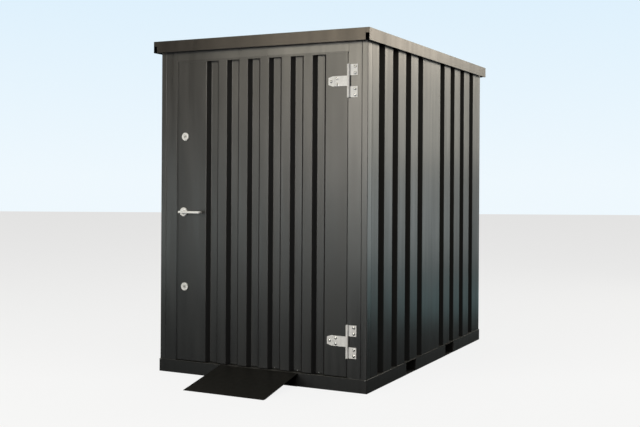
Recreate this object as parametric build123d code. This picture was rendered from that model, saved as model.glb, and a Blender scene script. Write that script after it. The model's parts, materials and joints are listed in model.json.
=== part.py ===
from build123d import *
import os

# Metal tool shed: a flat-packed steel store of folded, grooved panels on a base with fork pockets.
# Millimetres, +Z up, the door in the front wall faces -Y and +X is to the right of the door.
# The origin is the centre of the footprint, on the ground.

# Body, measured over the corner posts
body_width = 1440.0
body_depth = 2150.0
overall_height = 2100.0

# Thickness of the metal, and the outer radius of the folds that aren't sharp
sheet_thickness = 1.0
groove_bend = 6.0
frame_thickness = 1.5
tube_corner = 3.0
base_thickness = 2.0
tunnel_thickness = 2.0

# Base frame: channels open to the inside, standing a little proud of the walls
base_height = 80.0
base_flange = 80.0
base_proud = 4.0
joist_flange = 40.0
joist_spacing = 760.0
joist_count = 3
pocket_width = 175.0
pocket_spacing = 748.0
floor_thickness = 18.0
floor_side_clearance = 1.0

# Posts and the rails that join them under the roof
post_face = 38.0
top_rail_height = 30.0
top_rail_width = 60.0
bow_width = 60.0

# Folded wall panels; a groove is a flat-bottomed fold into the building
groove_depth = 30.0
groove_run = 18.0
wall_groove_opening = 87.0
wall_groove_pitch = 216.0
side_groove_count = 4
side_groove_shift = -8.0
back_groove_count = 3
panel_return = 34.0

# Roof sheets with ribs from side to side, and the folded edge flashings
rib_height = 25.0
rib_base = 87.0
rib_pitch = 224.0
ribs_per_panel = 5
roof_edge_flat = 10.0
roof_edge_clearance = 2.0
fascia_height = 72.0
fascia_thickness = 1.5
fascia_return = 70.0
fascia_lip = 12.0
fascia_front_overhang = 49.0
fascia_side_overhang = 29.0
notch_height = 40.0
notch_front_width = 24.0
notch_side_width = 20.0

# Door frame
jamb_face = 84.0
header_height = 99.5
stop_reach = 22.0
stop_depth = 12.0
stop_gap = 6.0

# Door leaf
door_gap = 6.5
leaf_depth = 42.0
door_groove_opening = 85.0
door_groove_count = 6
lock_side_flat = 212.5
hinge_side_flat = 143.0
stile_width = 30.0
door_rail_height = 40.0

# Hinges: two knuckles on the frame, one on the door's strap
hinge_height = 192.0
hinge_upper_inset = 163.5
hinge_lower_inset = 205.5
hinge_axis_inset = 2.0
hinge_face_clearance = 1.0
knuckle_radius = 8.0
knuckle_gap = 0.5
pin_radius = 4.0
pin_clearance = 0.05
hinge_plate = 3.0
frame_leaf_reach = 56.0
strap_reach = 132.0
strap_height = 60.0
strap_tip_height = 42.0
strap_taper = 28.0
strap_rise = 6.0
strap_foot = 36.0
strap_step = 9.0

# Locks and lever handle, placed from the edge of the leaf on the lock side
lock_inset = 57.0
lock_upper_height = 1495.0
lock_lower_height = 549.0
escutcheon_radius = 25.0
escutcheon_thickness = 6.0
cylinder_radius = 8.5
cylinder_proud = 1.5
key_slot_width = 2.4
key_slot_height = 9.0
key_slot_depth = 2.0
lever_inset = 48.0
lever_height = 1020.0
rose_radius = 28.0
rose_thickness = 8.0
stem_radius = 8.0
stem_clearance = 0.05
stem_back_clearance = 1.5
lever_standoff = 56.0
lever_length = 150.0
lever_return = 32.0
lever_bar_height = 15.0
lever_bar_thickness = 11.0
lever_bend = 16.0
lever_edge = 3.5
case_width = 56.0
case_height = 120.0
case_depth = 30.0

# Access ramp: one folded plate that leans on the sill
ramp_width = 543.0
ramp_offset = 5.0
ramp_reach = 409.0
ramp_thickness = 4.0
ramp_drop = 1.0

# Places that follow from the sizes above
half_width = body_width / 2
half_depth = body_depth / 2
front = -half_depth
base_half_width = half_width + base_proud
base_half_depth = half_depth + base_proud
roof_sheet_bottom = overall_height - fascia_thickness - rib_height - sheet_thickness
wall_top = roof_sheet_bottom - top_rail_height
jamb_depth = leaf_depth + stop_gap + stop_depth
post_inner = half_width - post_face
jamb_edge = post_inner - jamb_face
stop_edge = jamb_edge - stop_reach
door_head_height = roof_sheet_bottom - header_height
leaf_half_width = jamb_edge - door_gap
leaf_bottom = base_height + door_gap
leaf_top = door_head_height - door_gap
floor_top = base_height + floor_thickness
tunnel_height = base_height - base_thickness
hinge_upper_centre = leaf_top - hinge_upper_inset
hinge_lower_centre = leaf_bottom + hinge_lower_inset
hinge_axis_x = jamb_edge + hinge_axis_inset
hinge_axis_y = front - hinge_face_clearance - knuckle_radius
lock_x = -leaf_half_width + lock_inset
lever_x = -leaf_half_width + lever_inset


def block(x, y, z):
    """A box from three (low, high) pairs."""
    size = [high - low for low, high in (x, y, z)]
    centre = [(low + high) / 2 for low, high in (x, y, z)]
    return Pos(*centre) * Box(*size)


def folded_face(path, thickness, bends=None, side=Side.LEFT):
    """The cut face of a sheet folded along a path, with the metal on the given side of it."""
    line = FilletPolyline(*path, radius=bends) if bends else Polyline(*path)
    return make_face(offset(line, amount=thickness, side=side, kind=Kind.INTERSECTION).edges())


def ring_section(points, thickness, corner=None):
    """The cut face of a closed hollow section, its outer corners rounded where a radius is given."""
    outer = make_face(Polyline(*points, close=True))
    hollow = offset(outer, amount=-thickness, kind=Kind.INTERSECTION)
    if corner:
        outer = fillet(outer.vertices(), corner)
    return outer - hollow


def grooved_face(start, end, edge_return, grooves):
    """The cut face of a grooved sheet with an edge folded back at each end."""
    path = [(start, edge_return), (start, 0)] + grooves + [(end, 0), (end, edge_return)]
    bends = [0] + [groove_bend] * len(grooves) + [0]
    return folded_face(path, sheet_thickness, bends)


def groove_points(start, count, pitch, opening, depth):
    """Points of a row of flat-bottomed folds, each from start on, going in by depth."""
    points = []
    for index in range(count):
        left = start + index * pitch
        right = left + opening
        points += [(left, 0), (left + groove_run, depth), (right - groove_run, depth), (right, 0)]
    return points


def upright(face, bottom, top):
    """A vertical piece with the same cut face all the way up."""
    return Pos(0, 0, bottom) * extrude(face, amount=top - bottom)


def along_x(face, length):
    """A piece that runs along X, centred, from a cut face drawn as (y, z)."""
    return extrude(Plane.YZ * face, amount=length / 2, both=True)


def quarter(part, turns):
    """The part turned about Z: 1 puts a front piece on the right, 2 on the back, 3 on the left."""
    return Rot(0, 0, 90 * turns) * part


def mirrored(part):
    """The same piece on the other side of the building."""
    return mirror(part, about=Plane.YZ)


def mitre(half_length, half_offset, width, height):
    """A front strip that narrows at 45 degrees towards the building, used to cut mitred corners."""
    strip = Polyline(
        (-half_length, -half_offset),
        (half_length, -half_offset),
        (half_length - width, width - half_offset),
        (width - half_length, width - half_offset),
        close=True,
    )
    return extrude(make_face(strip), amount=height)


def base_rail(half_length, half_offset):
    """A base channel in the front's place, with mitred ends."""
    outer = -half_offset
    inner = outer + base_flange
    path = [(inner, 0), (outer, 0), (outer, base_height), (inner, base_height)]
    section = folded_face(path, base_thickness, side=Side.RIGHT)
    rail = along_x(section, 2 * half_length)
    return rail & mitre(half_length, half_offset, base_flange, base_height)


def pocket_centres():
    """Middle of each fork pocket along the side."""
    return [-pocket_spacing / 2, pocket_spacing / 2]


def side_base_rail():
    """The right base channel, notched where the fork tunnels end in it."""
    rail = quarter(base_rail(base_half_depth, base_half_width), 1)
    for centre in pocket_centres():
        span = (centre - pocket_width / 2, centre + pocket_width / 2)
        rail -= block((base_half_width - base_flange, base_half_width), span, (0, tunnel_height))
    return rail


def fork_tunnel(centre):
    """A rectangular tube from side to side that takes a lifting fork."""
    low = centre - pocket_width / 2
    high = centre + pocket_width / 2
    corners = [(low, 0), (high, 0), (high, tunnel_height), (low, tunnel_height)]
    return along_x(ring_section(corners, tunnel_thickness), 2 * base_half_width)


def floor_joists():
    """Channels between the side rails that carry the floor, the middle one over the origin."""
    joists = []
    length = 2 * (base_half_width - base_flange)
    for index in range(joist_count):
        centre = (index - (joist_count - 1) / 2) * joist_spacing
        near = centre - joist_flange / 2
        far = centre + joist_flange / 2
        path = [(far, 0), (near, 0), (near, base_height), (far, base_height)]
        joists.append(along_x(folded_face(path, base_thickness, side=Side.RIGHT), length))
    return Compound(children=joists)


def floor_panel():
    """The floor board, inside the corner posts and wall panels and behind the door frame."""
    half = half_width - max(post_face, panel_return) - floor_side_clearance
    back = half_depth - panel_return - floor_side_clearance
    return block((-half, half), (front + jamb_depth, back), (base_height, floor_top))


def corner_post(x_side, y_side):
    """A rectangular tube at one corner, as deep as the door frame."""
    x = sorted([x_side * half_width, x_side * post_inner])
    y = sorted([y_side * half_depth, y_side * (half_depth - jamb_depth)])
    corners = [(x[0], y[0]), (x[1], y[0]), (x[1], y[1]), (x[0], y[1])]
    return upright(ring_section(corners, frame_thickness, tube_corner), base_height, roof_sheet_bottom)


def door_jamb():
    """The right side of the door frame, up to the roof, with the stop that the leaf closes towards."""
    back = front + jamb_depth
    rebate = back - stop_depth
    points = [
        (jamb_edge, front),
        (post_inner, front),
        (post_inner, back),
        (stop_edge, back),
        (stop_edge, rebate),
        (jamb_edge, rebate),
    ]
    return upright(ring_section(points, frame_thickness), base_height, roof_sheet_bottom)


def door_header():
    """The top of the door frame, between the jambs, its back cut away over their stops."""
    back = front + jamb_depth
    rebate = back - stop_depth
    stop_bottom = door_head_height - stop_reach
    points = [
        (front, door_head_height),
        (rebate, door_head_height),
        (rebate, stop_bottom),
        (back, stop_bottom),
        (back, roof_sheet_bottom),
        (front, roof_sheet_bottom),
    ]
    header = along_x(ring_section(points, frame_thickness), 2 * jamb_edge)
    for x in ((stop_edge, jamb_edge), (-jamb_edge, -stop_edge)):
        header -= block(x, (rebate, back), (stop_bottom, roof_sheet_bottom))
    return header


def door_sill():
    """The low folded upstand behind the foot of the leaf."""
    far = front + jamb_depth
    near = far - stop_depth
    path = [(far, base_height), (near, base_height), (near, floor_top)]
    return along_x(folded_face(path, frame_thickness, side=Side.RIGHT), 2 * stop_edge)


def top_rail(length, depth, half_offset):
    """A rail under the edge of the roof, in the front's place."""
    outer = -half_offset
    inner = outer + depth
    points = [(outer, wall_top), (inner, wall_top), (inner, roof_sheet_bottom), (outer, roof_sheet_bottom)]
    return along_x(ring_section(points, frame_thickness), length)


def side_top_rail():
    """The right rail, between the corner posts."""
    return quarter(top_rail(body_depth - 2 * jamb_depth, top_rail_width, half_width), 1)


def back_top_rail():
    """The back rail, between the corner posts and as deep as they are."""
    return quarter(top_rail(2 * post_inner, jamb_depth, half_depth), 2)


def roof_bow():
    """The bar under the joint of the two roof sheets."""
    half = bow_width / 2
    points = [(-half, wall_top), (half, wall_top), (half, roof_sheet_bottom), (-half, roof_sheet_bottom)]
    return along_x(ring_section(points, frame_thickness), 2 * (half_width - top_rail_width))


def wall_panel(start, end, middle, count):
    """A grooved panel in a local frame: x along the wall, y into the building from its outer face."""
    row = (count - 1) * wall_groove_pitch + wall_groove_opening
    grooves = groove_points(middle - row / 2, count, wall_groove_pitch, wall_groove_opening, groove_depth)
    return upright(grooved_face(start, end, panel_return, grooves), base_height, wall_top)


def side_panel(end):
    """A panel of the right wall between the middle of the wall and a corner post: end is -1 or 1."""
    start, stop = sorted([0, end * (half_depth - jamb_depth)])
    middle = end * half_depth / 2 + side_groove_shift
    return Pos(half_width, 0, 0) * quarter(wall_panel(start, stop, middle, side_groove_count), 1)


def back_panel(end):
    """A panel of the back wall between its middle and a corner post: end is -1 or 1."""
    start, stop = sorted([0, end * post_inner])
    panel = wall_panel(start, stop, end * post_inner / 2, back_groove_count)
    return Pos(0, half_depth, 0) * quarter(panel, 2)


def roof_panel():
    """The front roof sheet, ribbed from side to side, from the front edge to the middle."""
    edge = half_depth + fascia_front_overhang - fascia_thickness - roof_edge_clearance
    first = roof_edge_flat - edge
    path = [(-edge, 0)] + groove_points(first, ribs_per_panel, rib_pitch, rib_base, rib_height) + [(0, 0)]
    section = Pos(0, roof_sheet_bottom) * folded_face(path, sheet_thickness)
    half = half_width + fascia_side_overhang - fascia_thickness - roof_edge_clearance
    return along_x(section, 2 * half)


def fascia(half_length, half_offset):
    """A folded edge flashing in the front's place: top return, face and lower lip, mitred."""
    outer = -half_offset
    low = overall_height - fascia_height
    path = [
        (outer + fascia_return, overall_height),
        (outer, overall_height),
        (outer, low),
        (outer + fascia_lip, low),
    ]
    section = folded_face(path, fascia_thickness)
    bar = along_x(section, 2 * half_length)
    return bar & mitre(half_length, half_offset, fascia_return, overall_height)


def notched(bar):
    """Cuts the open notch that the flashings leave at the foot of each corner."""
    low = overall_height - fascia_height
    half_x = half_width + fascia_side_overhang
    half_y = half_depth + fascia_front_overhang
    for x_side in (-1, 1):
        for y_side in (-1, 1):
            x = sorted([x_side * half_x, x_side * (half_x - notch_front_width)])
            y = sorted([y_side * half_y, y_side * (half_y - notch_side_width)])
            bar -= block(x, y, (low, low + notch_height))
    return bar


def fascia_front():
    """The front flashing."""
    half_length = half_width + fascia_side_overhang
    return notched(fascia(half_length, half_depth + fascia_front_overhang))


def fascia_side():
    """The right flashing."""
    half_length = half_depth + fascia_front_overhang
    return notched(quarter(fascia(half_length, half_width + fascia_side_overhang), 1))


def access_ramp():
    """A plate from the ground to just below the sill, with its back leg folded down to the ground."""
    near = front - ramp_reach
    back = -base_half_depth
    top = base_height - ramp_drop
    path = [(near, 0), (back, top), (back, 0)]
    section = folded_face(path, ramp_thickness, side=Side.RIGHT)
    plate = Pos(ramp_offset, 0, 0) * along_x(section, ramp_width)
    return plate & block((-body_width, body_width), (near, back), (0, base_height))


def door_sheet():
    """The grooved skin of the leaf with its edges folded back."""
    first = -leaf_half_width + lock_side_flat
    last = leaf_half_width - hinge_side_flat - door_groove_opening
    pitch = (last - first) / (door_groove_count - 1)
    grooves = groove_points(first, door_groove_count, pitch, door_groove_opening, groove_depth)
    face = grooved_face(-leaf_half_width, leaf_half_width, leaf_depth, grooves)
    return Pos(0, front, 0) * upright(face, leaf_bottom, leaf_top)


def door_stiles():
    """The upright tubes inside the two edges of the leaf."""
    near = front + sheet_thickness
    far = front + leaf_depth
    inner = leaf_half_width - sheet_thickness - stile_width
    outer = leaf_half_width - sheet_thickness
    corners = [(inner, near), (outer, near), (outer, far), (inner, far)]
    right = upright(ring_section(corners, frame_thickness), leaf_bottom, leaf_top)
    return Compound(children=[right, mirrored(right)])


def door_rails():
    """Flat tubes across the back of the leaf, on the floors of the grooves."""
    near = front + groove_depth + sheet_thickness
    far = front + leaf_depth
    length = 2 * (leaf_half_width - sheet_thickness - stile_width)
    middle = (leaf_bottom + leaf_top) / 2
    rails = []
    for low in (leaf_bottom, middle - door_rail_height / 2, leaf_top - door_rail_height):
        high = low + door_rail_height
        section = ring_section([(near, low), (far, low), (far, high), (near, high)], frame_thickness)
        rails.append(along_x(section, length))
    return Compound(children=rails)


def hinge_barrel(radius, low, high):
    """A round length of the hinge on its axis."""
    return Pos(hinge_axis_x, hinge_axis_y, low) * extrude(Circle(radius), amount=high - low)


def hinge_leaf(centre):
    """The frame's part of a hinge: two plates with their knuckles, and the pin."""
    low = centre - hinge_height / 2
    third = hinge_height / 3
    reach = (hinge_axis_x, hinge_axis_x + frame_leaf_reach)
    leaf = hinge_barrel(pin_radius, low, low + hinge_height)
    for bottom in (low, low + 2 * third):
        top = bottom + third
        leaf += hinge_barrel(knuckle_radius, bottom, top)
        leaf += block(reach, (front - hinge_plate, front), (bottom, top))
    return leaf


def hinge_strap(centre):
    """The door's part of a hinge: the middle knuckle and a strap that steps down to the leaf."""
    third = hinge_height / 3
    low = centre - third / 2 + knuckle_gap
    high = centre + third / 2 - knuckle_gap
    tip = hinge_axis_x - strap_reach
    face = front - hinge_plate
    raised = face - strap_rise
    step = tip + strap_foot
    path = [(tip, face), (step, face), (step + strap_step, raised), (hinge_axis_x, raised)]
    strap = Pos(0, 0, low) * extrude(folded_face(path, hinge_plate), amount=high - low)
    outline = Polyline(
        (hinge_axis_x, centre - strap_height / 2),
        (hinge_axis_x, centre + strap_height / 2),
        (tip + strap_taper, centre + strap_height / 2),
        (tip, centre + strap_tip_height / 2),
        (tip, centre - strap_tip_height / 2),
        (tip + strap_taper, centre - strap_height / 2),
        close=True,
    )
    strap &= Pos(0, front, 0) * extrude(Plane.XZ * make_face(outline), amount=hinge_plate + strap_rise)
    strap += hinge_barrel(knuckle_radius, low, high)
    return strap - hinge_barrel(pin_radius + pin_clearance, low, high)


def facing_door(x, height):
    """A plane on the leaf's face that looks out of the building."""
    return Plane(origin=(x, front, height), x_dir=(1, 0, 0), z_dir=(0, -1, 0))


def escutcheon(height):
    """A round lock plate with its cylinder and key slot."""
    facing = facing_door(lock_x, height)
    plate = extrude(facing * Circle(escutcheon_radius), amount=escutcheon_thickness)
    plate += extrude(facing * Circle(cylinder_radius), amount=escutcheon_thickness + cylinder_proud)
    face_y = front - escutcheon_thickness - cylinder_proud
    slot_x = (lock_x - key_slot_width / 2, lock_x + key_slot_width / 2)
    slot_z = (height - key_slot_height / 2, height + key_slot_height / 2)
    return plate - block(slot_x, (face_y, face_y + key_slot_depth), slot_z)


def lock_cases():
    """The lock bodies behind the skin, beside the stile: two locks and the latch of the handle."""
    left = -leaf_half_width + sheet_thickness + stile_width
    near = front + sheet_thickness
    cases = []
    for height in (lock_upper_height, lever_height, lock_lower_height):
        z = (height - case_height / 2, height + case_height / 2)
        cases.append(block((left, left + case_width), (near, near + case_depth), z))
    return Compound(children=cases)


def handle_rose():
    """The round plate that the lever's stem turns in."""
    ring = Circle(rose_radius) - Circle(stem_radius + stem_clearance)
    return extrude(facing_door(lever_x, lever_height) * ring, amount=rose_thickness)


def door_lever():
    """The lever: a round stem out of the rose and a flat bar whose end turns back to the leaf."""
    facing = facing_door(lever_x, lever_height).offset(stem_back_clearance)
    stem_length = lever_standoff - lever_bar_thickness / 2 - stem_back_clearance
    out = front - lever_standoff
    tip = lever_x + lever_length
    path = [(lever_x - stem_radius, out), (tip, out), (tip, out + lever_return)]
    bar = extrude(folded_face(path, lever_bar_thickness, lever_bend), amount=lever_bar_height)
    levels = bar.faces().sort_by(Axis.Z)
    bar = chamfer(levels[0].edges() + levels[-1].edges(), lever_edge)
    bar = Pos(0, 0, lever_height - lever_bar_height / 2) * bar
    return bar + extrude(facing * Circle(stem_radius), amount=stem_length)


nodes = {
    "base_front_rail": base_rail(base_half_width, base_half_depth),
    "base_back_rail": quarter(base_rail(base_half_width, base_half_depth), 2),
    "base_right_rail": side_base_rail(),
    "base_left_rail": mirrored(side_base_rail()),
    "floor_joists": floor_joists(),
    "fork_tunnel_front": fork_tunnel(pocket_centres()[0]),
    "fork_tunnel_rear": fork_tunnel(pocket_centres()[1]),
    "floor_panel": floor_panel(),
    "corner_post_front_left": corner_post(-1, -1),
    "corner_post_front_right": corner_post(1, -1),
    "corner_post_back_left": corner_post(-1, 1),
    "corner_post_back_right": corner_post(1, 1),
    "door_jamb_right": door_jamb(),
    "door_jamb_left": mirrored(door_jamb()),
    "door_header": door_header(),
    "door_sill": door_sill(),
    "top_rail_right": side_top_rail(),
    "top_rail_left": mirrored(side_top_rail()),
    "top_rail_back": back_top_rail(),
    "roof_bow": roof_bow(),
    "wall_panel_right_front": side_panel(-1),
    "wall_panel_right_rear": side_panel(1),
    "wall_panel_left_front": mirrored(side_panel(-1)),
    "wall_panel_left_rear": mirrored(side_panel(1)),
    "back_panel_right": back_panel(-1),
    "back_panel_left": back_panel(1),
    "roof_panel_front": roof_panel(),
    "roof_panel_rear": quarter(roof_panel(), 2),
    "fascia_front": fascia_front(),
    "fascia_back": quarter(fascia_front(), 2),
    "fascia_right": fascia_side(),
    "fascia_left": mirrored(fascia_side()),
    "access_ramp": access_ramp(),
    "hinge_upper_leaf": hinge_leaf(hinge_upper_centre),
    "hinge_lower_leaf": hinge_leaf(hinge_lower_centre),
    "door_sheet": door_sheet(),
    "door_stiles": door_stiles(),
    "door_rails": door_rails(),
    "hinge_upper_strap": hinge_strap(hinge_upper_centre),
    "hinge_lower_strap": hinge_strap(hinge_lower_centre),
    "lock_upper": escutcheon(lock_upper_height),
    "lock_lower": escutcheon(lock_lower_height),
    "lock_cases": lock_cases(),
    "handle_rose": handle_rose(),
    "door_lever": door_lever(),
}

os.makedirs("parts", exist_ok=True)
for name, part in nodes.items():
    part.label = name
    export_step(part, f"parts/{name}.step")
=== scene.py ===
import json
import math

import bmesh
import bpy
from mathutils import Matrix, Vector


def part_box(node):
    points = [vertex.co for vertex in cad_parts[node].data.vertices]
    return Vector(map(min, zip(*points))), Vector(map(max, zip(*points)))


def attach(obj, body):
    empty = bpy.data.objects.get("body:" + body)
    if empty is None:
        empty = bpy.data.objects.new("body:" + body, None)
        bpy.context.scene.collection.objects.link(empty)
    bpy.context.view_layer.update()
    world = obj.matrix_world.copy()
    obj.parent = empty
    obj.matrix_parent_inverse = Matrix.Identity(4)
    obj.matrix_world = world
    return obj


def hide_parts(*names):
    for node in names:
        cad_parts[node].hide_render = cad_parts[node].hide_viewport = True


# Metal tool shed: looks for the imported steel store. Metres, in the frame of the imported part.
# The door is in the front wall, which faces -Y.

# Camera, fitted to the photograph
camera_place = (2.949, -6.1525, 1.238)
camera_yaw = 26.52
camera_roll = 0.341
camera_lens = 54.3
camera_sensor = 36.0
camera_shift_y = -0.0552
camera_near = 0.05
camera_far = 200

# Colours, linear
paint_colour = (0.0088, 0.0092, 0.0105)
base_colour = (0.0036, 0.0044, 0.0056)
under_colour = (0.012, 0.012, 0.013)
ramp_colour = (0.0045, 0.0045, 0.0042)
rubber_colour = (0.010, 0.010, 0.010)
# Dark colour: the header seams and flashing rivets are dark parts; in the lock cylinder rings, key slots
# and strike slots it is painted shade
dark_colour = (0.008, 0.008, 0.008)
zinc_colour = (0.80, 0.81, 0.84)
bolt_colour = (0.78, 0.79, 0.80)
lock_colour = (0.88, 0.89, 0.91)
cylinder_colour = (0.30, 0.30, 0.28)
case_colour = (0.42, 0.43, 0.44)
board_colour = (0.30, 0.19, 0.10)
board_grain_colour = (0.17, 0.095, 0.045)
dust_colour = (0.16, 0.155, 0.145)
fascia_sheen = (1.0, 0.91, 0.83)
full_sheen = (1.0, 1.0, 1.0)

# The middle span of a noise, which is spread over a whole range
noise_low = 0.3
noise_high = 0.7

# Paint: clouds of tone, streaks down the sheet, dust on what faces up, waves and orange peel
cloud_scale = 2.2
cloud_detail = 4.0
cloud_contrast = 0.12
streak_scale = 26.0
streak_detail = 4.0
streak_stretch = 0.05
streak_gloss = 0.04
streak_dullness = 0.05
dust_scale = 35.0
dust_detail = 3.0
dust_thinnest = 0.5
dust_slope = 0.4
dust_dullness = 0.5
wave_scale = 4.5
wave_detail = 1.0
wave_stretch = 0.35
peel_scale = 900.0
peel_detail = 2.0
peel_strength = 0.12
peel_depth = 0.0004

# Zinc and steel: a fine grain and larger dull blotches
grain_scale = 160.0
grain_detail = 4.0
grain_shade = 0.86
grain_gloss = 0.06
grain_dullness = 0.08
grain_strength = 0.08
grain_depth = 0.0003
blotch_scale = 45.0
blotch_detail = 3.0
blotch_low = 0.35
blotch_shade = 0.80
lock_brush = (1, 1, 8)

# Plywood
board_stretch = 14.0
board_scale = 5.0
board_detail = 8.0
board_coarseness = 0.65
board_low = 0.35
board_high = 0.65
board_roughness = 0.62
board_strength = 0.25
board_depth = 0.0006

# Matt finishes
matt_scale = 300.0
matt_detail = 3.0
matt_contrast = 0.2
matt_strength = 0.2
matt_depth = 0.0003

# Studio floor and surround
floor_half = 27.3
floor_far_level = 0.803
floor_near_level = 0.938
floor_near_depth = 5.9
floor_shade = 0.08
floor_colour = (0.8, 0.8, 0.8)
floor_bounce_colour = (0.035, 0.045, 0.055)
floor_roughness = 0.9
floor_specular = 0.1
backdrop_low_colour = (0.86, 0.94, 0.99)
backdrop_high_colour = (0.72, 0.87, 0.98)
backdrop_high = 0.2
surround_low_colour = (0.03, 0.04, 0.05)
surround_high_colour = (0.42, 0.37, 0.29)
surround_low = -0.25
surround_high = 0.45

# Studio lights: name, place, target, size, watts and colour
studio_boxes = (
    ("top_light", (0.5, 0.5, 6.0), (0.0, 0.0, 0.0), (8.0, 8.0), 240, (0.86, 1.0, 0.95)),
    ("front_high_light", (-1.6, -6.6, 3.3), (0.3, -1.0, 1.8), (2.4, 1.3), 70, (1.0, 0.92, 0.72)),
    ("front_middle_light", (-1.6, -6.6, 2.0), (0.3, -1.0, 1.5), (2.4, 1.3), 58, (1.0, 0.94, 0.85)),
    ("front_low_light", (-2.5, -6.4, 0.75), (0.0, -1.0, 1.0), (3.8, 1.0), 29, (0.90, 1.0, 0.99)),
    ("front_strip_light", (1.0, -7.2, 2.1), (0.5, -1.0, 1.5), (0.1, 3.4), 90, (1.0, 0.96, 0.92)),
    ("side_high_light", (3.7, 5.1, 3.4), (0.72, -0.3, 1.6), (3.4, 1.3), 74, (1.0, 0.90, 0.75)),
    ("side_middle_light", (3.7, 5.1, 2.1), (0.72, -0.3, 1.3), (3.4, 1.3), 32, (1.0, 0.98, 0.88)),
    ("side_low_light", (3.9, 5.0, 0.75), (0.72, -0.3, 0.8), (3.2, 1.2), 20, (0.90, 1.0, 1.0)),
    ("side_floor_light", (2.7, 3.3, 0.02), (2.7, 3.3, 2.0), (3.0, 3.0), 12, (0.50, 0.95, 1.0)),
)

# Rounding of the edges that the solids leave sharp
fold_round = 0.0018
plate_round = 0.0012
hinge_round = 0.0006
flashing_round = 0.0006
sheet_round = 0.0004
round_steps = 2
sharp_angle = math.radians(30)
weld_distance = 0.00001
normal_weight = 80

# Turned outlines, as shares of a radius and a rise
dome_outline = ((1.0, 0.0), (1.0, 0.25), (0.85, 0.68), (0.5, 0.95), (0.0, 1.0))
nut_outline = ((1.0, 0.0), (1.0, 0.85), (0.9, 1.0))
collar_outline = ((1.0, 0.03), (1.0, 0.4), (0.86, 0.8), (0.7, 1.0))
handle_rim_outline = ((0.72, 0.0), (0.76, 7 / 9), (0.88, 1.0), (0.96, 5 / 9), (0.975, 0.0))

# Sides of a turned form
turn_steps = 20
rim_steps = 36
ring_steps = 28
screw_steps = 14
pale_dot_steps = 12
hex_steps = 6

# Bolts, nuts, and pale steel dots: painted highlights at the base's top corners, small pale marks at the
# groove feet
bolt_radius = 0.0072
bolt_rise = 0.0050
washer_radius = 0.0090
washer_edge_rise = 0.0008
washer_rise = 0.0010
nut_radius = 0.0065
nut_rise = 0.0050
frame_bolt_inset = 0.0155
frame_bolt_spread = 0.0180
strap_tip_bolt = 0.0180
strap_rear_bolt = 0.0600
strap_bolt_spread = 0.0165
strap_plate = 0.003
strap_rise = 0.006
knuckle_radius = 0.008
pin_head_radius = 0.0062
pin_head_rise = 0.0030
pale_dot_radius = 0.0028
pale_dot_rise = 0.0012
base_highlight_inset = 0.010
base_highlight_drop = 0.004
groove_dot_height = 0.009
groove_dot_places = (0.1176, 0.2733, 0.4149)
joint_bolt_count = 6
joint_bolt_margin = 0.17
panel_return = 0.034
sheet_thickness = 0.001
roof_screw_count = 8
roof_screw_margin = 0.085
roof_screw_inset = 0.030

# Lips, seams and seals of the door
lip_thickness = 0.0012
lip_stand = 0.0003
lip_lap = 0.0045
lip_cover = 0.0025
side_lip_lap = 0.0025
side_lip_cover = 0.0040
gap_strip_inset = 0.0045
gap_strip_depth = 0.0040
gap_strip_clearance = 0.0010
seam_half_width = 0.0014
seam_rise = 0.0002
stop_depth = 0.012
stop_reach = 0.022
seal_half_width = 0.0045
seal_rise = 0.0045
seal_foot = 0.02
seal_steps = 6

# Plates and bolts in the leaf's edge, and the plates that they meet
lock_nodes = ("lock_upper", "handle_rose", "lock_lower")
forend_width = 0.022
forend_height = 0.200
forend_rise = 0.0012
latch_width = 0.012
latch_height = 0.018
latch_rise = 0.0036
withdrawn_rise = 0.0008
strike_width = 0.026
strike_height = 0.170
strike_rise = 0.0010
# Dark sheets of painted shade in the strike plates' slots
slot_side_clearance = 0.0012
slot_end_clearance = 0.0054
slot_rise = 0.0001
plate_screw_radius = 0.0035
plate_screw_inset = 0.012
forend_screw_rise = 0.0005
strike_screw_rise = 0.0006

# Locks and handle
cylinder_stand = 0.0015
lock_ring_inner = 0.0165
lock_ring_outer = 0.0238
lock_ring_rise = 0.0016
inner_shoulder = 0.0012
inner_shoulder_rise = 0.75 * lock_ring_rise
outer_shoulder = 0.0010
outer_shoulder_rise = 0.7 * lock_ring_rise
# Dark ring of painted shade round the cylinder, in place of the shadow in its groove
cylinder_ring_inner = 0.0086
cylinder_ring_outer = 0.0104
cylinder_ring_rise = 0.0003
plug_half_width = 0.72 * cylinder_ring_inner
plug_rise = 0.0003
key_width = 0.0032
key_height = 0.0100
# Depth and thickness of the dark sheet of painted shade in the key slot
key_slot_depth = 0.0010
key_slot_thickness = 0.0009
handle_rim_rise = 0.0018
collar_radius = 0.0125
collar_rise = 0.0100

# Side flashings
flashing_thickness = 0.0015
flashing_return = 0.070
flashing_inset = 0.0004
flashing_lip = 0.012
rivet_inset = 0.034
rivet_drop = 0.017
rivet_radius = 0.0045
rivet_rise = 0.0004

bpy.context.scene.view_settings.view_transform = "Standard"

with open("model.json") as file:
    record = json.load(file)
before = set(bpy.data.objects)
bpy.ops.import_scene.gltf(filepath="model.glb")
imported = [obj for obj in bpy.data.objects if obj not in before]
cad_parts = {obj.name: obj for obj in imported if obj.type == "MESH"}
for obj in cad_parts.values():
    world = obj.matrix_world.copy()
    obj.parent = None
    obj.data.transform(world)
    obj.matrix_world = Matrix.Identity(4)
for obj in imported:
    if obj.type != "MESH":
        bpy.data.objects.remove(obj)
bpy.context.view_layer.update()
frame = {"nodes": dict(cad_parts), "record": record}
nodes = frame["nodes"]
slot_of = {part["node"]: part["material_slot"] for part in frame["record"]["subparts"]}

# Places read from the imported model
leaf_low, leaf_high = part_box("door_sheet")
header_low, header_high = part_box("door_header")
post_low, post_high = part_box("corner_post_front_right")
base_low, base_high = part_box("base_front_rail")
wall_low, wall_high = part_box("wall_panel_right_front")
front_y = leaf_low.y
door_gap = header_high.x - leaf_high.x
half_depth = -front_y
half_width = post_high.x


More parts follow.
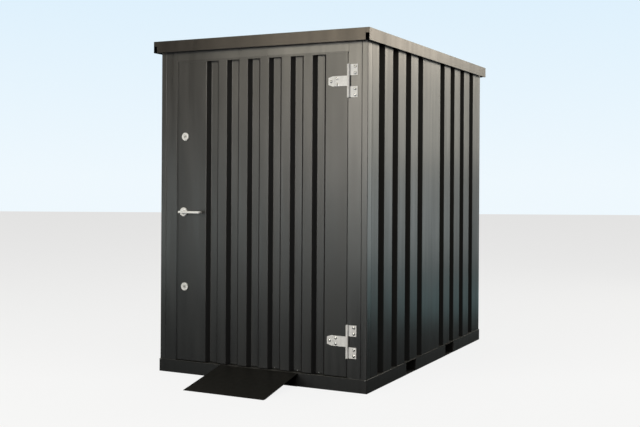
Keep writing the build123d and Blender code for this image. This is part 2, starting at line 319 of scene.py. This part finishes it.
def node_group(name):
    """A new material whose tree holds only an output and a shader: the material, tree and shader."""
    material = bpy.data.materials.new(name)
    material.use_nodes = True
    tree = material.node_tree
    tree.nodes.clear()
    output = tree.nodes.new("ShaderNodeOutputMaterial")
    shader = tree.nodes.new("ShaderNodeBsdfPrincipled")
    tree.links.new(shader.outputs["BSDF"], output.inputs["Surface"])
    return material, tree, shader


def object_point(tree, scale=(1, 1, 1)):
    """The object's own coordinates, in metres, stretched by scale."""
    place = tree.nodes.new("ShaderNodeTexCoord")
    mapping = tree.nodes.new("ShaderNodeMapping")
    mapping.inputs["Scale"].default_value = scale
    tree.links.new(place.outputs["Object"], mapping.inputs["Vector"])
    return mapping.outputs["Vector"]


def noise(tree, vector, scale, detail, roughness=0.5):
    """A noise value along the given coordinates."""
    texture = tree.nodes.new("ShaderNodeTexNoise")
    texture.inputs["Scale"].default_value = scale
    texture.inputs["Detail"].default_value = detail
    texture.inputs["Roughness"].default_value = roughness
    tree.links.new(vector, texture.inputs["Vector"])
    return texture.outputs["Fac"]


def remap(tree, value, from_low, from_high, to_low, to_high):
    """The value mapped from one range to another, kept within it."""
    node = tree.nodes.new("ShaderNodeMapRange")
    node.inputs["From Min"].default_value = from_low
    node.inputs["From Max"].default_value = from_high
    node.inputs["To Min"].default_value = to_low
    node.inputs["To Max"].default_value = to_high
    tree.links.new(value, node.inputs["Value"])
    return node.outputs["Result"]


def spread_noise(tree, vector, scale, detail, low=0.0, high=1.0):
    """A noise whose middle span is spread from low to high."""
    return remap(tree, noise(tree, vector, scale, detail), noise_low, noise_high, low, high)


def mix_colour(tree, factor, first, second):
    """A blend of two colours, each a socket or three numbers."""
    node = tree.nodes.new("ShaderNodeMix")
    node.data_type = "RGBA"
    tree.links.new(factor, node.inputs["Factor"])
    for socket, colour in ((node.inputs["A"], first), (node.inputs["B"], second)):
        if isinstance(colour, bpy.types.NodeSocket):
            tree.links.new(colour, socket)
        else:
            socket.default_value = (*colour, 1.0)
    return node.outputs["Result"]


def math_node(tree, operation, first, second):
    """One arithmetic step on sockets or numbers."""
    node = tree.nodes.new("ShaderNodeMath")
    node.operation = operation
    for socket, value in ((node.inputs[0], first), (node.inputs[1], second)):
        if isinstance(value, bpy.types.NodeSocket):
            tree.links.new(value, socket)
        else:
            socket.default_value = value
    return node.outputs["Value"]


def add_bump(tree, shader, layers):
    """Relief from layers of (height, strength, distance), each on top of the one before."""
    normal = None
    for height, strength, distance in layers:
        bump = tree.nodes.new("ShaderNodeBump")
        bump.inputs["Strength"].default_value = strength
        bump.inputs["Distance"].default_value = distance
        tree.links.new(height, bump.inputs["Height"])
        if normal:
            tree.links.new(normal, bump.inputs["Normal"])
        normal = bump.outputs["Normal"]
    tree.links.new(normal, shader.inputs["Normal"])


def scaled(colour, factor):
    """A colour made lighter or darker."""
    return tuple(channel * factor for channel in colour)


def paint(name, colour, roughness=0.36, dust=0.25, wave=0.004, specular=0.5, sheen=full_sheen):
    """Satin powder coat on thin sheet, with clouds, streaks, settled dust, slight waves and orange peel."""
    material, tree, shader = node_group(name)
    point = object_point(tree)
    cloud = spread_noise(tree, point, cloud_scale, cloud_detail)
    tint = mix_colour(tree, cloud, scaled(colour, 1 - cloud_contrast), scaled(colour, 1 + cloud_contrast))

    geometry = tree.nodes.new("ShaderNodeNewGeometry")
    split = tree.nodes.new("ShaderNodeSeparateXYZ")
    tree.links.new(geometry.outputs["Normal"], split.inputs["Vector"])
    facing_up = remap(tree, split.outputs["Z"], dust_slope, 1.0, 0.0, dust)
    patchy = spread_noise(tree, point, dust_scale, dust_detail, dust_thinnest)
    settled = math_node(tree, "MULTIPLY", facing_up, patchy)
    tree.links.new(mix_colour(tree, settled, tint, dust_colour), shader.inputs["Base Color"])

    streak_point = object_point(tree, (1.0, 1.0, streak_stretch))
    streaks = spread_noise(tree, streak_point, streak_scale, streak_detail,
                           roughness - streak_gloss, roughness + streak_dullness)
    dusty = math_node(tree, "MULTIPLY", settled, dust_dullness)
    tree.links.new(math_node(tree, "ADD", streaks, dusty), shader.inputs["Roughness"])
    shader.inputs["Specular IOR Level"].default_value = specular
    shader.inputs["Specular Tint"].default_value = (*sheen, 1.0)

    waves = noise(tree, object_point(tree, (1.0, 1.0, wave_stretch)), wave_scale, wave_detail)
    peel = noise(tree, point, peel_scale, peel_detail)
    add_bump(tree, shader, ((waves, 1.0, wave), (peel, peel_strength, peel_depth)))
    return material


def zinc(name, colour, roughness, metallic, brush=(1, 1, 1)):
    """Dull zinc plate or satin steel with a fine brushed or spangled grain."""
    material, tree, shader = node_group(name)
    point = object_point(tree, brush)
    grain = spread_noise(tree, point, grain_scale, grain_detail)
    blotch = remap(tree, noise(tree, point, blotch_scale, blotch_detail), blotch_low, noise_high, 0.0, 1.0)
    shade = mix_colour(tree, grain, scaled(colour, grain_shade), colour)
    tint = mix_colour(tree, blotch, shade, scaled(colour, blotch_shade))
    tree.links.new(tint, shader.inputs["Base Color"])
    worn = remap(tree, grain, 0.0, 1.0, roughness - grain_gloss, roughness + grain_dullness)
    tree.links.new(worn, shader.inputs["Roughness"])
    shader.inputs["Metallic"].default_value = metallic
    add_bump(tree, shader, ((grain, grain_strength, grain_depth),))
    return material


def board(name):
    """Plywood: long grain with darker bands."""
    material, tree, shader = node_group(name)
    point = object_point(tree, (board_stretch, 1.0, board_stretch))
    bands = noise(tree, point, board_scale, board_detail, board_coarseness)
    grain = remap(tree, bands, board_low, board_high, 0.0, 1.0)
    tree.links.new(mix_colour(tree, grain, board_grain_colour, board_colour), shader.inputs["Base Color"])
    shader.inputs["Roughness"].default_value = board_roughness
    add_bump(tree, shader, ((grain, board_strength, board_depth),))
    return material


def plain(name, colour, roughness):
    """A matt finish with a trace of grain."""
    material, tree, shader = node_group(name)
    grain = noise(tree, object_point(tree), matt_scale, matt_detail)
    tint = mix_colour(tree, grain, scaled(colour, 1 - matt_contrast), scaled(colour, 1 + matt_contrast))
    tree.links.new(tint, shader.inputs["Base Color"])
    shader.inputs["Roughness"].default_value = roughness
    add_bump(tree, shader, ((grain, matt_strength, matt_depth),))
    return material


finishes = {
    "wall_paint": paint("wall_paint", paint_colour, roughness=0.33, specular=0.6),
    "door_paint": paint("door_paint", paint_colour, roughness=0.34, specular=0.66),
    "frame_paint": paint("frame_paint", paint_colour, roughness=0.31, specular=0.84),
    "fascia_paint": paint("fascia_paint", paint_colour, roughness=0.32, wave=0.002, sheen=fascia_sheen),
    "roof_paint": paint("roof_paint", paint_colour, dust=0.5),
    "base_paint": paint("base_paint", base_colour, roughness=0.42, wave=0.001),
    "under_paint": plain("under_paint", under_colour, roughness=0.6),
    "ramp_paint": paint("ramp_paint", ramp_colour, roughness=0.5, dust=0.02, wave=0.001, specular=0.2),
    "floor_board": board("floor_board"),
    "hinge_steel": zinc("hinge_steel", zinc_colour, roughness=0.55, metallic=0.1),
    "lock_steel": zinc("lock_steel", lock_colour, roughness=0.40, metallic=0.25, brush=lock_brush),
    "bolt_steel": zinc("bolt_steel", bolt_colour, roughness=0.24, metallic=1.0),
    "case_steel": zinc("case_steel", case_colour, roughness=0.45, metallic=0.9),
    "cylinder_steel": zinc("cylinder_steel", cylinder_colour, roughness=0.35, metallic=0.6),
    "rubber": plain("rubber", rubber_colour, roughness=0.7),
    # Dark finish: dark parts on the header seams and flashing rivets, painted shade on the lock cylinder
    # rings, key slots and strike slots
    "dark_trim_and_painted_shade": plain("dark_trim_and_painted_shade", dark_colour, roughness=0.5),
}


def round_edges(piece, width):
    """Joins the split corners of a piece and rounds its sharp edges."""
    weld = piece.modifiers.new("weld", "WELD")
    weld.merge_threshold = weld_distance
    bevel = piece.modifiers.new("round", "BEVEL")
    bevel.width = width
    bevel.segments = round_steps
    bevel.limit_method = "ANGLE"
    bevel.angle_limit = sharp_angle
    bevel.harden_normals = False
    normals = piece.modifiers.new("normals", "WEIGHTED_NORMAL")
    normals.keep_sharp = False
    normals.weight = normal_weight


def dress_nodes():
    """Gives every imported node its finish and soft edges."""
    widths = {
        "hinge_steel": hinge_round,
        "lock_steel": plate_round,
        "under_paint": plate_round,
        "case_steel": plate_round,
        "wall_paint": sheet_round,
        "door_paint": sheet_round,
        "roof_paint": sheet_round,
    }
    for name, piece in nodes.items():
        finish = slot_of[name]
        piece.data.materials.clear()
        piece.data.materials.append(finishes[finish])
        round_edges(piece, widths.get(finish, fold_round))


def finished(name, shape, finish, body, smooth=False):
    """A piece from a bmesh, with its finish, riding on a body."""
    mesh = bpy.data.meshes.new(name)
    bmesh.ops.recalc_face_normals(shape, faces=shape.faces)
    shape.to_mesh(mesh)
    shape.free()
    mesh.polygons.foreach_set("use_smooth", [smooth] * len(mesh.polygons))
    mesh.materials.append(finishes[finish])
    piece = bpy.data.objects.new(name, mesh)
    bpy.context.scene.collection.objects.link(piece)
    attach(piece, body)
    return piece


def ring_of(shape, turn, place, radius, rise, steps):
    """A ring of points about an axis, or a single point where the radius is nothing."""
    if radius == 0:
        return [shape.verts.new(place + turn @ Vector((0, 0, rise)))] * steps
    points = []
    for step in range(steps):
        angle = math.tau * (step + 0.5) / steps
        offset = Vector((radius * math.cos(angle), radius * math.sin(angle), rise))
        points.append(shape.verts.new(place + turn @ offset))
    return points


def add_turned(shape, profile, place, facing, steps=turn_steps, closed=False):
    """A turned solid from (radius, rise) pairs, foot first, or a ring where the profile is closed."""
    turn = Vector(facing).to_track_quat("Z", "Y").to_matrix()
    rings = [ring_of(shape, turn, Vector(place), radius, rise, steps) for radius, rise in profile]
    pairs = list(zip(rings, rings[1:]))
    if closed:
        pairs.append((rings[-1], rings[0]))
    for low, high in pairs:
        for step in range(steps):
            after = (step + 1) % steps
            corners = [low[step], low[after], high[after], high[step]]
            shape.faces.new(list(dict.fromkeys(corners)))
    if not closed:
        shape.faces.new(rings[0][::-1])
        if profile[-1][0] > 0:
            shape.faces.new(rings[-1])


def add_box(shape, low, high):
    """A box between two corners."""
    low = Vector(low)
    high = Vector(high)
    size = high - low
    place = Matrix.Translation((low + high) / 2) @ Matrix.Diagonal((*size, 1.0))
    bmesh.ops.create_cube(shape, size=1.0, matrix=place)


def add_bar(shape, outline, start, end, across, out, mitre=0.0):
    """A bar with an outline of (across, out) pairs from start to end, its ends cut back where mitred."""
    start = Vector(start)
    end = Vector(end)
    along = (end - start).normalized()
    ends = []
    for place, inward in ((start, along), (end, -along)):
        ring = []
        for first, second in outline:
            offset = Vector(across) * first + Vector(out) * second
            ring.append(shape.verts.new(place + offset + inward * mitre * first))
        ends.append(ring)
    count = len(outline)
    for index in range(count):
        after = (index + 1) % count
        shape.faces.new([ends[0][index], ends[0][after], ends[1][after], ends[1][index]])
    shape.faces.new(ends[0][::-1])
    shape.faces.new(ends[1])


def sized(outline, radius, rise):
    """A turned profile from an outline of shares."""
    return [(radius * across, rise * up) for across, up in outline]


def dome(radius, rise):
    """The profile of a low domed head."""
    return sized(dome_outline, radius, rise)


def add_bolt(shape, place, facing):
    """A domed bolt head on a thin washer."""
    place = Vector(place)
    washer = [(washer_radius, 0), (washer_radius, washer_edge_rise), (bolt_radius, washer_rise)]
    add_turned(shape, washer, place, facing)
    add_turned(shape, dome(bolt_radius, bolt_rise), place + Vector(facing) * washer_rise, facing)


def add_nut(shape, place, facing):
    """A hexagon head on a washer."""
    place = Vector(place)
    add_turned(shape, [(washer_radius, 0), (washer_radius, washer_rise)], place, facing)
    add_turned(shape, sized(nut_outline, nut_radius, nut_rise),
               place + Vector(facing) * washer_rise, facing, hex_steps)


def spread_along(low, high, count, margin):
    """Evenly spaced places between two ends."""
    first = low + margin
    step = (high - low - 2 * margin) / (count - 1)
    return [first + index * step for index in range(count)]


def middle_of(node):
    """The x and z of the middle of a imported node."""
    low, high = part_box(node)
    return (low.x + high.x) / 2, (low.z + high.z) / 2


def hinge_hardware(level):
    """Bolts on both plates of a hinge, the nuts behind its strap, and the heads of its pin."""
    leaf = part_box(f"hinge_{level}_leaf")
    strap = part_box(f"hinge_{level}_strap")
    bolt_x = leaf[1].x - frame_bolt_inset
    sixth = (leaf[1].z - leaf[0].z) / 6
    face = front_y - strap_plate
    bolts = bmesh.new()
    for middle in (leaf[0].z + sixth, leaf[1].z - sixth):
        for side in (-1, 1):
            add_bolt(bolts, (bolt_x, face, middle + side * frame_bolt_spread), (0, -1, 0))
    finished(f"hinge_{level}_frame_bolts", bolts, "bolt_steel", "shed", smooth=True)

    middle = (strap[0].z + strap[1].z) / 2
    tip = strap[0].x
    rear = tip + strap_rear_bolt
    places = [(tip + strap_tip_bolt, 0, middle)]
    places += [(rear, strap_rise, middle + side * strap_bolt_spread) for side in (-1, 1)]
    heads = bmesh.new()
    nuts = bmesh.new()
    for x, rise, z in places:
        add_bolt(heads, (x, face - rise, z), (0, -1, 0))
        add_nut(nuts, (x, front_y + sheet_thickness, z), (0, 1, 0))
    finished(f"hinge_{level}_strap_bolts", heads, "bolt_steel", "door", smooth=True)
    finished(f"hinge_{level}_strap_nuts", nuts, "case_steel", "door")

    axis = (leaf[0].x + knuckle_radius, leaf[0].y + knuckle_radius)
    pin = bmesh.new()
    for end, facing in ((leaf[1].z, 1), (leaf[0].z, -1)):
        add_turned(pin, dome(pin_head_radius, pin_head_rise), (*axis, end), (0, 0, facing))
    finished(f"hinge_{level}_pin_heads", pin, "hinge_steel", "shed", smooth=True)


def lock_hardware(level):
    """The rolled rim of a lock plate, a dark ring of painted shade round its cylinder, its plug and a dark
    sheet of painted shade in its key slot.
    """
    x, z = middle_of(f"lock_{level}")
    cylinder_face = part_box(f"lock_{level}")[0].y
    plate = (x, cylinder_face + cylinder_stand, z)
    rim = bmesh.new()
    add_turned(rim, [
        (lock_ring_inner, 0),
        (lock_ring_inner + inner_shoulder, inner_shoulder_rise),
        ((lock_ring_inner + lock_ring_outer) / 2, lock_ring_rise),
        (lock_ring_outer - outer_shoulder, outer_shoulder_rise),
        (lock_ring_outer, 0),
    ], plate, (0, -1, 0), rim_steps, closed=True)
    finished(f"lock_{level}_rim", rim, "lock_steel", "door", smooth=True)

    # Painted shade: a thin dark ring round the cylinder stands in for the shadow in the groove between
    # cylinder and plate
    seam = bmesh.new()
    add_turned(seam, [
        (cylinder_ring_inner, 0),
        (cylinder_ring_inner, cylinder_ring_rise),
        (cylinder_ring_outer, cylinder_ring_rise),
        (cylinder_ring_outer, 0),
    ], plate, (0, -1, 0), ring_steps, closed=True)
    finished(f"lock_{level}_seam", seam, "dark_trim_and_painted_shade", "door")

    plug = bmesh.new()
    for side in (-1, 1):
        inner = x + side * key_width / 2
        outer = x + side * plug_half_width
        add_box(plug, (min(inner, outer), cylinder_face - plug_rise, z - key_height / 2),
                (max(inner, outer), cylinder_face, z + key_height / 2))
    finished(f"lock_{level}_plug", plug, "cylinder_steel", "door")

    # Painted shade: a dark sheet behind the cylinder's face stands in for the shadow inside the key slot
    slot = bmesh.new()
    slot_y = cylinder_face + key_slot_depth
    add_box(slot, (x - key_width / 2, slot_y, z - key_height / 2),
            (x + key_width / 2, slot_y + key_slot_thickness, z + key_height / 2))
    finished(f"lock_{level}_key_slot", slot, "dark_trim_and_painted_shade", "door")


def handle_hardware():
    """A rolled rim on the lever's plate and a collar round its stem."""
    low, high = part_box("handle_rose")
    x, z = middle_of("handle_rose")
    reach = (high.x - low.x) / 2
    rim = bmesh.new()
    add_turned(rim, sized(handle_rim_outline, reach, handle_rim_rise), (x, low.y, z), (0, -1, 0),
               rim_steps, closed=True)
    finished("handle_rose_rim", rim, "lock_steel", "door", smooth=True)
    collar = bmesh.new()
    add_turned(collar, sized(collar_outline, collar_radius, collar_rise), (x, low.y, z), (0, -1, 0),
               ring_steps)
    finished("lever_collar", collar, "lock_steel", "lever", smooth=True)


def door_lips():
    """Thin strips on the top and lock side of the leaf that lap over the frame and hide the gap."""
    back = front_y - lip_stand
    face = back - lip_thickness
    top = leaf_high.z + door_gap + lip_lap
    left = leaf_low.x - side_lip_lap
    strips = bmesh.new()
    add_box(strips, (left, face, leaf_high.z - lip_cover), (leaf_high.x, back, top))
    finished("leaf_top_lip", strips, "door_paint", "door")
    side = bmesh.new()
    add_box(side, (left, face, leaf_low.z), (leaf_low.x + side_lip_cover, back, leaf_high.z - lip_cover))
    finished("leaf_side_lip", side, "door_paint", "door")


def gap_strip():
    """A strip on the hinge jamb that narrows the gap beside the leaf."""
    strip = bmesh.new()
    near = front_y + gap_strip_inset
    add_box(strip, (leaf_high.x + gap_strip_clearance, near, leaf_low.z),
            (header_high.x, near + gap_strip_depth, header_low.z + stop_reach))
    finished("jamb_gap_strip", strip, "frame_paint", "shed")


def header_seams():
    """The dark joints between the header's ends and the jambs."""
    seams = bmesh.new()
    low = leaf_high.z + door_gap + lip_lap
    for x in (header_low.x, header_high.x):
        add_box(seams, (x - seam_half_width, header_low.y - seam_rise, low),
                (x + seam_half_width, header_low.y, header_high.z))
    finished("header_seams", seams, "dark_trim_and_painted_shade", "shed")


def half_round():
    """The outline of a rubber seal on a flat face."""
    points = []
    for step in range(seal_steps + 1):
        angle = math.pi * step / seal_steps
        points.append((seal_half_width * math.cos(angle), seal_rise * math.sin(angle)))
    return points


def stop_seals():
    """Rubber seals on the stops that the leaf closes towards."""
    face = header_high.y - stop_depth
    middle = header_high.x - stop_reach / 2
    foot = leaf_low.z + seal_foot
    head = header_low.z + stop_reach / 2
    seals = bmesh.new()
    for x in (-middle, middle):
        add_bar(seals, half_round(), (x, face, foot), (x, face, head), (1, 0, 0), (0, -1, 0))
    add_bar(seals, half_round(), (-middle, face, head), (middle, face, head), (0, 0, 1), (0, -1, 0))
    finished("stop_seals", seals, "rubber", "shed")


def edge_plates():
    """Plates with their bolts on the leaf's edge, and the plates they meet in the jamb, with dark sheets of
    painted shade in their slots.
    """
    edge = leaf_low.x
    middle = (leaf_low.y + leaf_high.y) / 2
    jamb = header_low.x
    strike_face = jamb + strike_rise
    slot_width = latch_width / 2 + slot_side_clearance
    slot_height = latch_height / 2 + slot_end_clearance
    plates = bmesh.new()
    bolts = bmesh.new()
    strikes = bmesh.new()
    slots = bmesh.new()
    for name in lock_nodes:
        z = middle_of(name)[1]
        add_box(plates, (edge - forend_rise, middle - forend_width / 2, z - forend_height / 2),
                (edge, middle + forend_width / 2, z + forend_height / 2))
        reach = latch_rise if name == "handle_rose" else forend_rise + withdrawn_rise
        add_box(bolts, (edge - reach, middle - latch_width / 2, z - latch_height / 2),
                (edge - forend_rise, middle + latch_width / 2, z + latch_height / 2))
        add_box(strikes, (jamb, middle - strike_width / 2, z - strike_height / 2),
                (strike_face, middle + strike_width / 2, z + strike_height / 2))
        # Painted shade: a dark sheet on each strike plate stands in for the shadow inside its slot
        add_box(slots, (strike_face, middle - slot_width, z - slot_height),
                (strike_face + slot_rise, middle + slot_width, z + slot_height))
        for side in (-1, 1):
            screw_z = z + side * (strike_height / 2 - plate_screw_inset)
            add_turned(strikes, dome(plate_screw_radius, strike_screw_rise),
                       (strike_face, middle, screw_z), (1, 0, 0), screw_steps)
            screw_z = z + side * (forend_height / 2 - plate_screw_inset)
            add_turned(plates, dome(plate_screw_radius, forend_screw_rise),
                       (edge - forend_rise, middle, screw_z), (-1, 0, 0), screw_steps)
    finished("leaf_edge_plates", plates, "case_steel", "door")
    finished("leaf_edge_bolts", bolts, "lock_steel", "door")
    finished("strike_plates", strikes, "case_steel", "shed")
    finished("strike_slot_painted_shade", slots, "dark_trim_and_painted_shade", "shed")


def joint_bolts():
    """Bolts through the folded returns where wall panels meet each other and the posts, seen inside."""
    inset = half_width - panel_return / 2
    near_post = -half_depth + post_high.y - post_low.y
    back_y = half_depth - panel_return / 2
    bolts = bmesh.new()
    for z in spread_along(wall_low.z, wall_high.z, joint_bolt_count, joint_bolt_margin):
        for x in (-inset, inset):
            add_nut(bolts, (x, near_post + sheet_thickness, z), (0, 1, 0))
            add_nut(bolts, (x, -near_post - sheet_thickness, z), (0, -1, 0))
            add_nut(bolts, (x, sheet_thickness, z), (0, 1, 0))
            add_nut(bolts, (x, -sheet_thickness, z), (0, -1, 0))
        for side in (-1, 1):
            add_nut(bolts, (side * (post_low.x - sheet_thickness), back_y, z), (-side, 0, 0))
            add_nut(bolts, (side * sheet_thickness, back_y, z), (side, 0, 0))
    finished("panel_joint_bolts", bolts, "case_steel", "shed")


def roof_screws():
    """Screws with sealing washers on both sides of the joint between the roof sheets."""
    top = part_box("roof_panel_front")[0].z + sheet_thickness
    screws = bmesh.new()
    for x in spread_along(-half_width, half_width, roof_screw_count, roof_screw_margin):
        for y in (-roof_screw_inset, roof_screw_inset):
            add_nut(screws, (x, y, top), (0, 0, 1))
    finished("roof_screws", screws, "case_steel", "shed")


def side_flashings():
    """The side flashings, which run through to the corners where the front and back ones are notched."""
    low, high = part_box("fascia_right")
    thick = flashing_thickness
    height = high.z - low.z
    face_x = high.x - flashing_inset
    outline = [
        (flashing_return, height),
        (0, height),
        (0, 0),
        (flashing_lip, 0),
        (flashing_lip, thick),
        (thick, thick),
        (thick, height - thick),
        (flashing_return, height - thick),
    ]
    for name, side in (("left", -1), ("right", 1)):
        shape = bmesh.new()
        edge = side * face_x
        add_bar(shape, outline, (edge, low.y, low.z), (edge, high.y, low.z),
                (-side, 0, 0), (0, 0, 1), mitre=1.0)
        piece = finished(f"side_flashing_{name}", shape, "fascia_paint", "shed")
        round_edges(piece, flashing_round)
        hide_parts(f"fascia_{name}")
    rivets = bmesh.new()
    for side in (-1, 1):
        for y in (low.y + rivet_inset, high.y - rivet_inset):
            add_turned(rivets, dome(rivet_radius, rivet_rise), (side * face_x, y, high.z - rivet_drop),
                       (side, 0, 0), screw_steps)
    finished("flashing_rivets", rivets, "dark_trim_and_painted_shade", "shed", smooth=True)


def pale_dots_and_painted_highlights():
    """Pale steel dots: painted highlights at the top corners of the base, and small pale marks at the feet
    of three door grooves.
    """
    tack = dome(pale_dot_radius, pale_dot_rise)
    corner_x = base_high.x - base_highlight_inset
    corner_z = base_high.z - base_highlight_drop
    # Painted highlights: pale dots at the base's top corners stand in for the light caught by the ledge's
    # mitred corners
    tacks = bmesh.new()
    for x in (-corner_x, corner_x):
        add_turned(tacks, tack, (x, base_low.y, corner_z), (0, -1, 0), pale_dot_steps)
    finished("base_corner_painted_highlights", tacks, "case_steel", "shed", smooth=True)
    feet = bmesh.new()
    for x in groove_dot_places:
        add_turned(feet, tack, (x, front_y, leaf_low.z + groove_dot_height), (0, -1, 0), pale_dot_steps)
    finished("groove_foot_pale_dots", feet, "case_steel", "door", smooth=True)


def camera():
    """The camera at the photograph's viewing angle."""
    data = bpy.data.cameras.new("camera")
    data.lens = camera_lens
    data.sensor_width = camera_sensor
    data.shift_y = camera_shift_y
    data.clip_start = camera_near
    data.clip_end = camera_far
    yaw = math.radians(camera_yaw)
    roll = math.radians(camera_roll)
    forward = Vector((-math.sin(yaw), math.cos(yaw), 0))
    level_right = Vector((math.cos(yaw), math.sin(yaw), 0))
    up_world = Vector((0, 0, 1))
    right = level_right * math.cos(roll) + up_world * math.sin(roll)
    up = up_world * math.cos(roll) - level_right * math.sin(roll)
    turn = Matrix((right, up, -forward)).transposed().to_4x4()
    eye = bpy.data.objects.new("camera", data)
    eye.matrix_world = Matrix.Translation(camera_place) @ turn
    bpy.context.scene.collection.objects.link(eye)
    bpy.context.scene.camera = eye


def seen_directly(tree):
    """1 where the camera looks straight at the stage, 0 for the light that it sends to the shed."""
    return tree.nodes.new("ShaderNodeLightPath").outputs["Is Camera Ray"]


def studio_floor():
    """A plain pale floor that ends where the photograph's pale ground does."""
    mesh = bpy.data.meshes.new("studio_floor")
    half = floor_half
    corners = [(-half, -half, 0), (half, -half, 0), (half, half, 0), (-half, half, 0)]
    mesh.from_pydata(corners, [], [(0, 1, 2, 3)])
    floor = bpy.data.objects.new("studio_floor", mesh)
    floor.rotation_euler = (0, 0, math.radians(camera_yaw))
    bpy.context.scene.collection.objects.link(floor)

    material, tree, shader = node_group("studio_floor")
    eye_depth = Vector(camera_place).xy.length
    split = tree.nodes.new("ShaderNodeSeparateXYZ")
    tree.links.new(object_point(tree), split.inputs["Vector"])
    depth = math_node(tree, "ADD", split.outputs["Y"], eye_depth)
    nearness = math_node(tree, "DIVIDE", 1.0, math_node(tree, "MAXIMUM", depth, floor_near_depth))
    level = remap(tree, nearness, 1 / (floor_half + eye_depth), 1 / floor_near_depth,
                  floor_far_level, floor_near_level)
    glow = tree.nodes.new("ShaderNodeEmission")
    tree.links.new(level, glow.inputs["Color"])
    pale = math_node(tree, "MULTIPLY", seen_directly(tree), 1 - floor_shade)
    tree.links.new(mix_colour(tree, seen_directly(tree), floor_bounce_colour, floor_colour),
                   shader.inputs["Base Color"])
    shader.inputs["Roughness"].default_value = floor_roughness
    shader.inputs["Specular IOR Level"].default_value = floor_specular
    blend = tree.nodes.new("ShaderNodeMixShader")
    tree.links.new(pale, blend.inputs["Fac"])
    tree.links.new(shader.outputs["BSDF"], blend.inputs[1])
    tree.links.new(glow.outputs["Emission"], blend.inputs[2])
    tree.links.new(blend.outputs["Shader"], tree.nodes["Material Output"].inputs["Surface"])
    mesh.materials.append(material)


def studio_world():
    """A pale backdrop for the camera, and a softly lit surround for the shed."""
    world = bpy.data.worlds.new("studio")
    bpy.context.scene.world = world
    world.use_nodes = True
    tree = world.node_tree
    place = tree.nodes.new("ShaderNodeTexCoord")
    split = tree.nodes.new("ShaderNodeSeparateXYZ")
    tree.links.new(place.outputs["Generated"], split.inputs["Vector"])
    rise = remap(tree, split.outputs["Z"], 0.0, backdrop_high, 0.0, 1.0)
    seen = mix_colour(tree, rise, backdrop_low_colour, backdrop_high_colour)
    height = remap(tree, split.outputs["Z"], surround_low, surround_high, 0.0, 1.0)
    lighting = mix_colour(tree, height, surround_low_colour, surround_high_colour)
    background = tree.nodes["Background"]
    tree.links.new(mix_colour(tree, seen_directly(tree), lighting, seen), background.inputs["Color"])


def soft_light(name, place, target, size, power, colour):
    """An area light that looks at a target."""
    data = bpy.data.lights.new(name, "AREA")
    data.shape = "RECTANGLE"
    data.size, data.size_y = size
    data.energy = power
    data.color = colour
    lamp = bpy.data.objects.new(name, data)
    lamp.location = place
    lamp.rotation_mode = "QUATERNION"
    lamp.rotation_quaternion = (Vector(target) - Vector(place)).to_track_quat("-Z", "Y")
    lamp.visible_camera = False
    bpy.context.scene.collection.objects.link(lamp)


camera()
studio_floor()
studio_world()
for box in studio_boxes:
    soft_light(*box)
dress_nodes()
for level in ("upper", "lower"):
    hinge_hardware(level)
    lock_hardware(level)
handle_hardware()
door_lips()
gap_strip()
header_seams()
stop_seals()
edge_plates()
joint_bolts()
roof_screws()
side_flashings()
pale_dots_and_painted_highlights()
